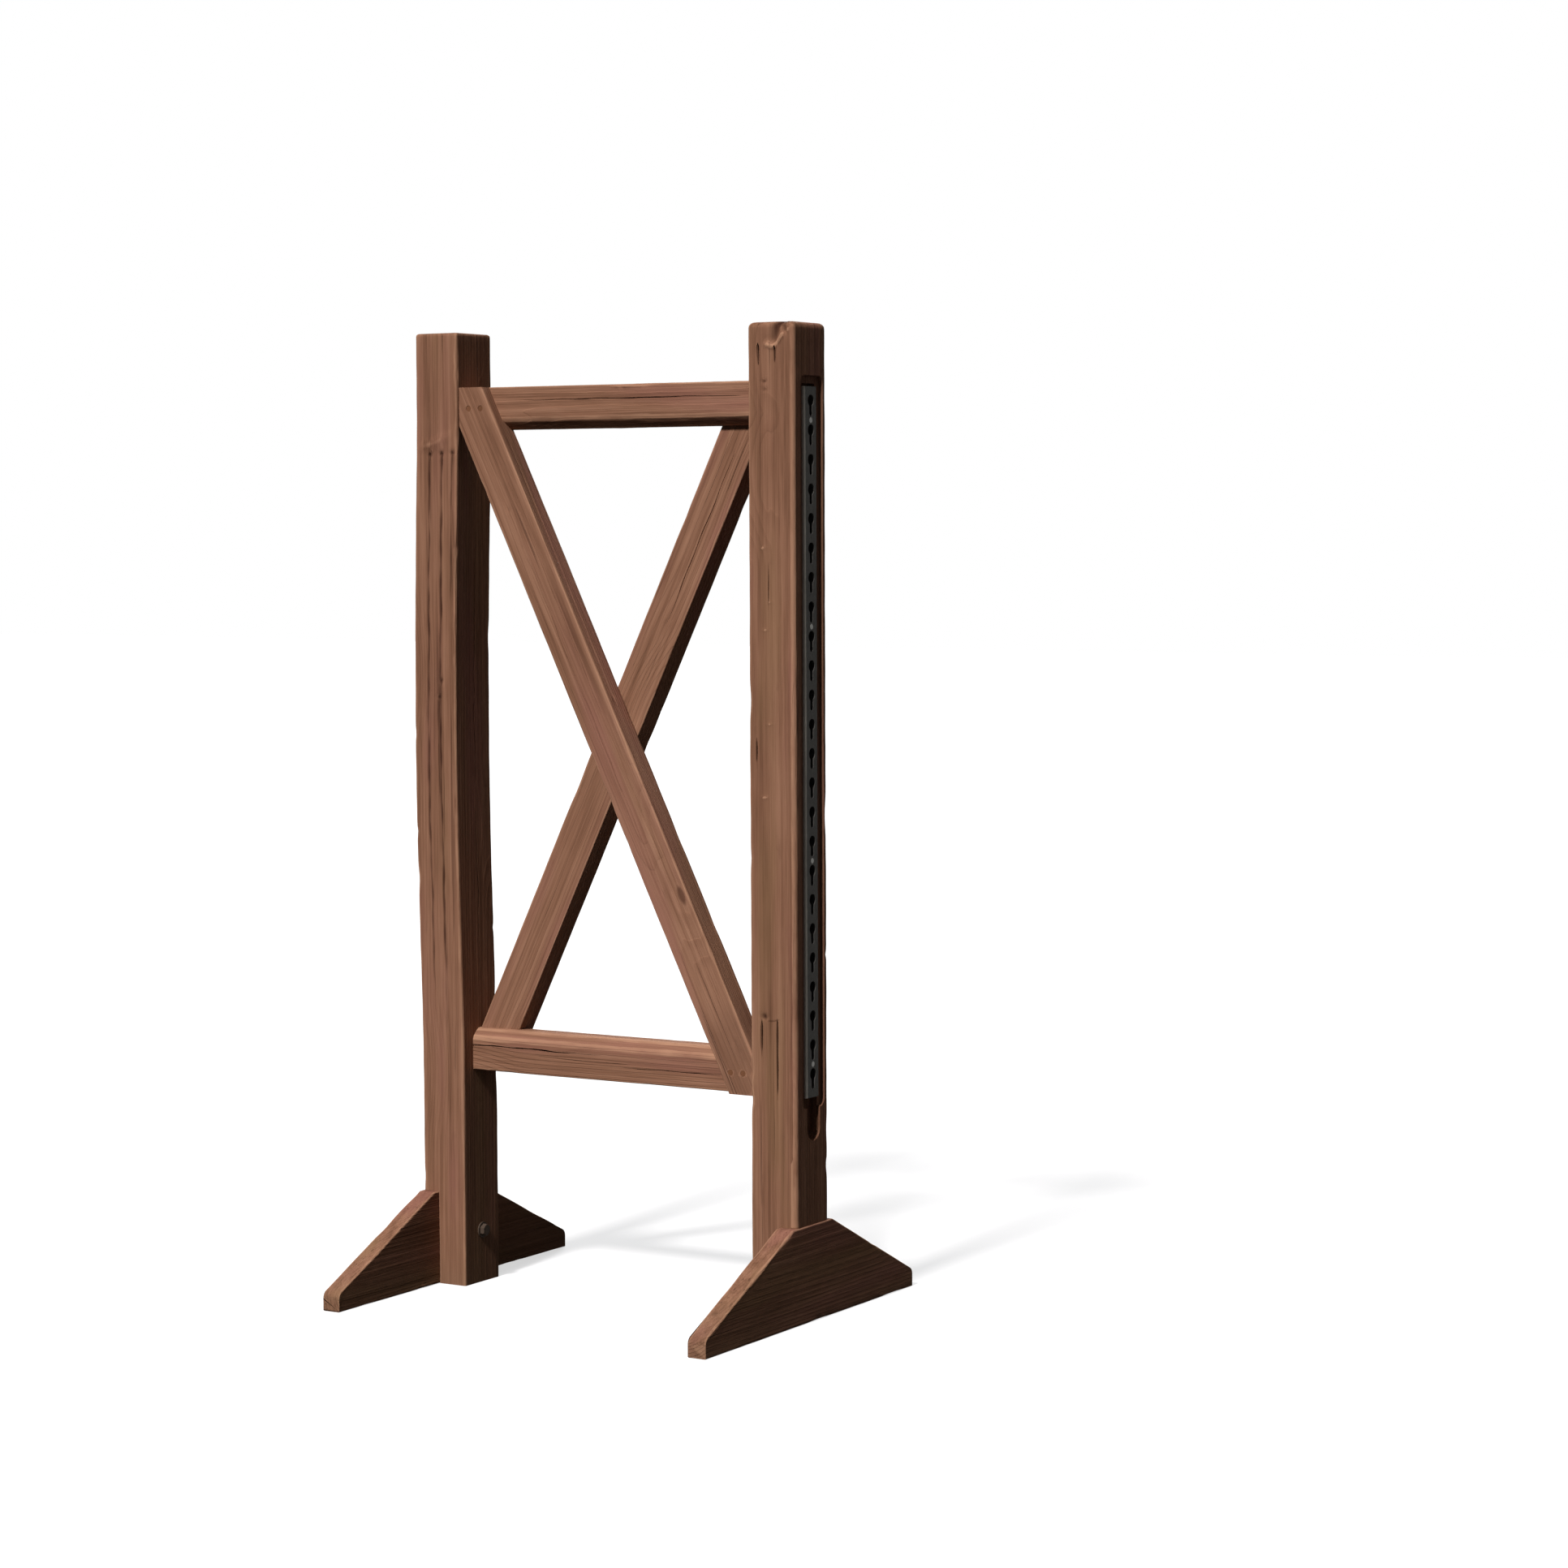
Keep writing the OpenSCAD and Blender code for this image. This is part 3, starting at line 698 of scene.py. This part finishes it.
def plain_marks(side, at, run):
    """Knots on the plain post's front: three where the long checks begin, under a ledge with a painted
    highlight, two below.
    """
    if side != FRONT:
        return UNMARKED
    height = run / MM
    deep, dark = 0.0, 0.0
    for knot_at, knot_height, size in PLAIN_KNOTS:
        below = knot_height - height
        hole = bell(math.hypot(at - knot_at, below * 0.7), size)
        streak = 0.0
        if below > 0:
            streak = 0.75 * bell(at - knot_at, STREAK_WIDE) * max(0, 1 - below / STREAK_LONG)
        deep += KNOT_DEEP * hole
        dark = max(dark, 0.85 * hole, streak)
    if not LEDGE_LOW < height < LEDGE_HIGH:
        return deep, dark, 0.0
    away, share = along_path((at, height), LEDGE)
    ledge = bell(away, LEDGE_WIDE) * math.sin(math.pi * (0.15 + 0.8 * share))
    # The ledge stands proud and is painted paler as a highlight
    return deep - LEDGE_PROUD * ledge, dark, 0.9 * ledge


def torn_knot(at, below):
    """Torn-out knot with a raised lip at the top of the track post, and two nail holes under it.
    Its gouge is darker, partly painted shade, and its lip paler with a painted highlight.
    """
    away, share = along_path((at, below), TEAR)
    aside, _ = along_path((at, below), SIDE_TEAR)
    gouge = max((1 - 0.35 * share) * bell(away, TEAR_WIDE), 0.6 * bell(aside, SIDE_TEAR_WIDE))
    ridge, _ = along_path((at, below), LIP)
    lip = max(bell(ridge, LIP_WIDE), 0.8 * bell(math.dist((at, below), LIP_END), LIP_END_WIDE))
    # The gouge is painted darker, partly as shade, and the lip paler as a painted highlight
    deep, dark, wear_and_highlight = TEAR_DEEP * gouge - LIP_PROUD * lip, gouge * (1 - lip), 2.0 * lip
    for nail in NAILS:
        hole = bell(math.dist((at, below), nail), NAIL_WIDE)
        deep += HOLE_DEEP * hole
        dark = max(dark, hole)
    return deep, dark, wear_and_highlight


def resin_drops(at, run):
    """Pale drops that stand proud of the track post's front."""
    drop = max(bell(math.hypot(at - drop_at, (run - height) / MM), RESIN_WIDE) for drop_at, height in RESIN)
    return -RESIN_PROUD * drop, 0.0, 2.0 * drop


def low_marks(at, below):
    """Low knot on the track post with a split beside it, and the rubbed line above its foot."""
    split, _ = along_path((at, below), LOW_SPLIT)
    hole = bell(math.dist((at, below), LOW_KNOT), LOW_KNOT_WIDE)
    wear_and_highlight = 1.7 * bell(at - RUBBED_AT, RUBBED_WIDE) if below > RUBBED_FROM else 0.0
    return HOLE_DEEP * hole, max(0.6 * bell(split, LOW_SPLIT_WIDE), hole), wear_and_highlight


def track_marks(side, at, run):
    """The marks on the track post's front, from the torn knot at its top down."""
    below = (post_top - run) / MM
    if side != FRONT:
        return UNMARKED
    if below <= TEAR_END:
        return torn_knot(at, below)
    if below < LOW_MARKS:
        return resin_drops(at, run)
    return low_marks(at, below)


# Plain post, with closer rows at its knots
plain_rows = post_rows(PLAIN_EASE, [(1.480, 1.556, 2.5), (1.050, 1.104, 2.5)])
plain_post, plain_place = post(
    "plain_post", "plain_foot", plain_rows, 3, PLAIN_ARRIS,
    sway=plain_bow, dips=plain_marks, closer={FRONT: 4}, checks=[
        Check(FRONT, 30, [(0.48, 1.498)], 3.2, 2.4, 1.6, blunt=0.006, dark=0.78),
        Check(FRONT, 56, [(0.42, 1.500)], 3.4, 2.6, 1.6, blunt=0.006, dark=0.85),
        Check(FRONT, 78, [(1.20, 1.500)], 2.0, 1.8, 0.6, blunt=0.02, dark=0.65),
        Check(1, 58, [(0.55, 1.35)], 1.0, 6, 2.4),
        Check(2, 40, [(0.40, 1.62)], 1.2, 8, 2.6),
        Check(3, 61, [(0.75, 1.58)], 1.0, 6, 2.2),
    ])

# Track post, with closer rows at its marks, the routed recess for the track and a deeper groove
knot_rows = [(post_top - 0.125, post_top - 0.010, 2.5), (0.518, 0.540, 2.5)]
resin_rows = [(height - 6 * MM, height + 6 * MM, 2) for _, height in RESIN]
track_post, track_place = post(
    "track_post", "track_foot", post_rows(TRACK_EASE, knot_rows + resin_rows), 7, TRACK_ARRIS,
    dips=track_marks, closer={FRONT: 2.6}, rounds={1: TRACK_ROUND}, checks=[
        Check(FRONT, 14, [(0.962, 1.004)], 1.6, 5, 0.6),
        Check(FRONT, 21, [(0.466, 0.524), (1.637, 1.674)], 2.1, 7, 1.4),
        Check(FRONT, 39, [(1.230, 1.300)], 0.9, 3, 1.0),
        Check(FRONT, 53, [(0.394, 0.526), (1.640, 1.668)], 1.7, 7, 0.4, blunt=0.05),
        Check(2, 55, [(0.30, 1.50)], 1.2, 8, 2.6),
        Check(3, 38, [(0.50, 1.45)], 1.0, 6, 2.4),
    ])
shape(track_post, prism("recess", [
    [(track_face + out, *point) for point in recess_points(grow)] for out, grow in RECESS_WALL]))
shape(track_post, prism("groove", [
    [(x, *point) for point in groove_points()] for x in (strip_low[0], track_face + RECESS_WALL[-1][0])]))


def rail(node, corners, seed, **details):
    """A rail between the posts, and its place."""
    low, high = span(node)
    place = ((low + high) / 2 * (0, 1, 1), Y, Z, X)
    timber = Timber(place, lambda run: corners, even(-bay, bay, 8), seed, RAIL_ARRIS, **details)
    return timber.build(node + "_timber"), place


# Rails, the inner front edge of each bevelled
low_rail_corners = np.array([
    (-half_t, -half_h), (half_t, -half_h), (half_t, half_h),
    (RAIL_BEVEL - half_t, half_h), (-half_t, half_h - RAIL_BEVEL)])
top_rail_corners = np.array([
    (RAIL_BEVEL - half_t, -half_h), (half_t, -half_h), (half_t, half_h),
    (-half_t, half_h), (-half_t, RAIL_BEVEL - half_h)])
bottom_rail, bottom_place = rail(
    "bottom_rail", low_rail_corners, 11, swell=0.5, rounds={3: LOW_BEVEL_ROUND, 4: LOW_BEVEL_ROUND}, checks=[
        Check(4, 14, [(-0.36, -0.08)], 1.3, 7, 1.5),
        Check(4, 33, [(0.02, 0.22)], 0.8, 4, 1.2),
        Check(1, 40, [(-0.20, 0.28)], 1.0, 6, 2.0),
    ])
top_rail, top_place = rail(
    "top_rail", top_rail_corners, 13, swell=0.7, rounds={0: TOP_BEVEL_ROUND, 4: TOP_BEVEL_ROUND}, checks=[
        Check(3, 24, [(-0.18, 0.20)], 0.7, 4, 1.5),
        Check(1, 34, [(-0.25, 0.12)], 1.0, 6, 2.0),
    ])


def low_stain(side, at, run):
    """Stain that gathered at a brace's lower end."""
    return 0.0, 0.34 * float(np.clip((STAIN_FROM - run) / STAIN_OVER, 0, 1)), 0.0


def lap_points(side, end, low, high):
    """What the lower (-1) or upper (1) rail takes from the front (-1) or back (1) brace, in Y and Z."""
    outer, inner = (low[2], high[2]) if end < 0 else (high[2], low[2])
    outer += end * PAST
    if side > 0:
        return [(high[1], outer), (-REACH, outer), (-REACH, inner), (high[1], inner)]
    return [(low[1], outer), (REACH, outer), (REACH, inner),
            (low[1] + RAIL_BEVEL, inner), (low[1], inner + end * RAIL_BEVEL)]


def brace(node, side, seed, checks, dips=None):
    """A diagonal in front (-1) or behind (1), cut to the bay and halved over both rails, and its place."""
    low, high = span(node)
    turn = side * math.atan2(2 * bay - BRACE_STEEPER, top_high[2] - bottom_low[2])
    across = np.array((math.cos(turn), 0, -math.sin(turn)))
    along = np.array((math.sin(turn), 0, math.cos(turn)))
    place = (np.array((0, (low[1] + high[1]) / 2, frame_mid)), across, Y, along)
    outline, rows = square_outline(half_h, half_t), even(-BRACE_HALF_LENGTH, BRACE_HALF_LENGTH, 9)
    timber = Timber(place, outline, rows, seed, BRACE_ARRIS, checks=checks, dips=dips)
    piece = timber.build(node + "_timber")
    shape(piece, block("bay", (-bay, -REACH, bottom_low[2]), (bay, REACH, top_high[2])), "INTERSECT")
    for end, rail_low, rail_high in ((-1, bottom_low, bottom_high), (1, top_low, top_high)):
        lap = lap_points(side, end, rail_low, rail_high)
        shape(piece, prism("lap", [[(x, y, z) for y, z in lap] for x in (-bay - PAST, bay + PAST)]))
    return piece, place


front_brace, front_place = brace("front_brace", -1, 17, [
    Check(FRONT, 30, [(-0.30, 0.45)], 0.9, 2, 2.0, dark=0.35),
    Check(FRONT, 51, [(-0.60, 0.66)], 1.0, 1.5, 1.4, dark=0.35),
    Check(1, 18, [(0.05, 0.55)], 0.6, 3, 1.0),
], low_stain)
back_brace, back_place = brace("back_brace", 1, 19, [
    Check(FRONT, 44, [(0.22, 0.55)], 0.9, 2, 2.0, dark=0.45),
    Check(2, 34, [(-0.45, 0.40)], 1.0, 6, 2.2),
])
bare_heads(front_brace, "front_brace_screws", -1)
bare_heads(back_brace, "back_brace_screws", 1)
bare_heads(back_brace, "cross_screws", 1)


def foot_height(y):
    """Height of a foot at a distance from its middle: flat, sloped, then around the nose."""
    y = abs(y)
    slope = math.atan2(foot_top - NOSE_HEIGHT, nose - FOOT_FLAT)
    tangent = NOSE_RADIUS * math.tan((math.pi / 2 - slope) / 2)
    if y <= FOOT_FLAT:
        return foot_top
    if y <= nose - tangent * math.cos(slope):
        return foot_top - (y - FOOT_FLAT) * math.tan(slope)
    rise = math.sqrt(max(0, NOSE_RADIUS ** 2 - (y - nose + NOSE_RADIUS) ** 2))
    return NOSE_HEIGHT - tangent + rise


def foot_rows():
    """Rows along a foot, closer where the slopes begin and around the noses."""
    bends = [(-0.072, -0.060, 2), (0.060, 0.072, 2)]
    inner = [run for run, _ in even(NOSE_RADIUS - nose, nose - NOSE_RADIUS, 9, bends)]
    tip = [nose - back * MM for back in (10.5, 7.5, 4.5, 2.0, 0.5, 0.0)]
    return [(run, 0.0) for run in [-run for run in reversed(tip)] + inner + tip]


def foot(node, seed):
    """A foot board and its place."""
    low, high = span(node)
    half = (high[0] - low[0]) / 2
    place = ((low + high) / 2 * (1, 0, 0), Z, X, Y)

    def outline(run):
        tall = foot_height(run)
        return np.array([(0, -half), (tall, -half), (tall, half), (0, half)])
    timber = Timber(place, outline, foot_rows(), seed, FOOT_ARRIS, cell=8, swell=0.4)
    return timber.build(node + "_timber"), place


plain_foot, plain_foot_place = foot("plain_foot", 23)
track_foot, track_foot_place = foot("track_foot", 29)

# Mesh, its place, its node, seed of the grain, heart of the rings in the section, more olive, lightness
timbers = (
    (plain_post, plain_place, "plain_post", 2.0, (0.11, 0.07), 0.0, 0.02),
    (track_post, track_place, "track_post", 6.3, (-0.08, 0.10), -0.1, 0.02),
    (top_rail, top_place, "top_rail", 8.0, (0.06, -0.03), -0.4, 0.08),
    (bottom_rail, bottom_place, "bottom_rail", 11.0, (0.05, 0.06), -0.4, 0.11),
    (front_brace, front_place, "front_brace", 14.0, (0.03, 0.07), -0.4, 0.13),
    (back_brace, back_place, "back_brace", 17.0, (-0.05, 0.05), -0.4, 0.08),
    (plain_foot, plain_foot_place, "plain_foot", 20.0, (0.04, 0.06), 0.0, 0.02),
    (track_foot, track_foot_place, "track_foot", 23.0, (0.12, -0.05), 0.0, 0.0),
)
for piece, place, node, seed, heart, tint, shade in timbers:
    smooth(piece)
    piece.data.materials.clear()
    piece.data.materials.append(timber_material(node + "_stain", place, seed, heart, tint, shade))
    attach(piece, "root")
    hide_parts(node)

# Finishes of the CAD solids that show as they are
track_zinc = metal_material("track_zinc", linear(96, 94, 90), 3.0, metallic=0.05, rough=0.50, spangle=0.12,
                            grime=0.25, rubbed_highlit_folds=(strip_y, strip_half))
screw_zinc = metal_material("screw_zinc", linear(146, 145, 140), 6.0, metallic=0.3, rough=0.45, spangle=0.1,
                            grime=0.3)
dull_zinc = metal_material("dull_zinc", linear(78, 66, 57), 12.0, metallic=0.06, rough=0.6, spangle=0.1,
                           grime=0.45)
stained_heads = metal_material("stained_heads", linear(112, 76, 54), 9.0, metallic=0.02, rough=0.65,
                               spangle=0.05, grime=0.2)
dowel_wood = timber_material("dowel_wood", top_place, 31.0, (0.02, 0.03), 0.1, 0.5)


def paint(node, material):
    mesh = nodes[node].data
    if not mesh.materials:
        mesh.materials.append(material)
    for index in range(len(mesh.materials)):
        mesh.materials[index] = material


paint("keyhole_track", track_zinc)
paint("track_screws", screw_zinc)
for post_name in ("plain", "track"):
    paint(post_name + "_foot_coach_screw", dull_zinc)
    paint(post_name + "_foot_washer", dull_zinc)
    paint("top_rail_" + post_name + "_dowels", dowel_wood)
    paint("bottom_rail_" + post_name + "_dowels", dowel_wood)
for node in ("front_brace_screws", "back_brace_screws", "cross_screws"):
    paint(node, stained_heads)


def add_camera():
    """The camera that the photograph was taken with."""
    ahead = Vector((-math.sin(YAW) * math.cos(PITCH), math.cos(YAW) * math.cos(PITCH), -math.sin(PITCH)))
    level = Vector((math.cos(YAW), math.sin(YAW), 0))
    above = level.cross(ahead)
    right = level * math.cos(ROLL) + above * math.sin(ROLL)
    top = above * math.cos(ROLL) - level * math.sin(ROLL)
    camera = add_object("camera", bpy.data.cameras.new("camera"))
    camera.data.sensor_width = SENSOR_WIDTH
    camera.data.lens = SENSOR_WIDTH * FOCAL_PIXELS / PHOTO_PIXELS
    camera.data.clip_end = 100
    turned = Matrix((right, top, -ahead)).transposed().to_4x4()
    camera.matrix_world = Matrix.Translation(CAMERA_PLACE) @ turned
    bpy.context.scene.camera = camera
    bpy.context.scene.view_settings.view_transform = "Standard"


def pale_floor():
    """White to look at, with soft shadows, and dull for the light that it throws back."""
    graph = Graph(bpy.data.materials.new("pale_floor"))
    pale = graph.node("ShaderNodeBsdfDiffuse", {"Color": (0.42, 0.42, 0.42, 1)})
    glow = graph.node("ShaderNodeEmission", {"Color": (1, 1, 1, 1), "Strength": 0.62})
    lifted = graph.node("ShaderNodeAddShader", {0: pale.outputs[0], 1: glow.outputs[0]})
    dull = graph.node("ShaderNodeBsdfDiffuse", {"Color": (0.02, 0.02, 0.019, 1)})
    return graph.surface(graph.node(
        "ShaderNodeMixShader", {0: graph.seen(), 1: dull.outputs[0], 2: lifted.outputs[0]}))


def studio():
    """White to look at, and a faint, cool fill for the light that it gives."""
    graph = Graph(bpy.data.worlds.new("studio"))
    fill = graph.node("ShaderNodeBackground", {0: (0.93, 0.96, 1.0, 1), 1: 0.07})
    white = graph.node("ShaderNodeBackground", {0: (1, 1, 1, 1), 1: 1.0})
    both = graph.node("ShaderNodeMixShader", {0: graph.seen(), 1: fill.outputs[0], 2: white.outputs[0]})
    return graph.surface(both, "ShaderNodeOutputWorld")


def sunlight(name, towards, energy, angle, colour):
    """A sun lamp, from the direction that points to it."""
    lamp = add_object(name, bpy.data.lights.new(name, "SUN"))
    lamp.data.energy = energy
    lamp.data.angle = math.radians(angle)
    lamp.data.color = colour
    lamp.rotation_euler = Vector(towards).to_track_quat("Z", "Y").to_euler()


# Camera, floor, background and light
add_camera()
floor_half = 30
floor_mesh = bpy.data.meshes.new("floor")
floor_mesh.from_pydata([(-floor_half, -floor_half, 0), (floor_half, -floor_half, 0),
                        (floor_half, floor_half, 0), (-floor_half, floor_half, 0)], [], [(0, 1, 2, 3)])
floor_mesh.materials.append(pale_floor())
floor = add_object("floor", floor_mesh)
bpy.context.scene.world = studio()
sunlight("key", (0.03, -0.70, 0.713), 4.3, 8, (1.0, 0.965, 0.965))
sunlight("back", (-0.35, 0.75, 0.55), 2.0, 20, (0.95, 0.97, 1.0))
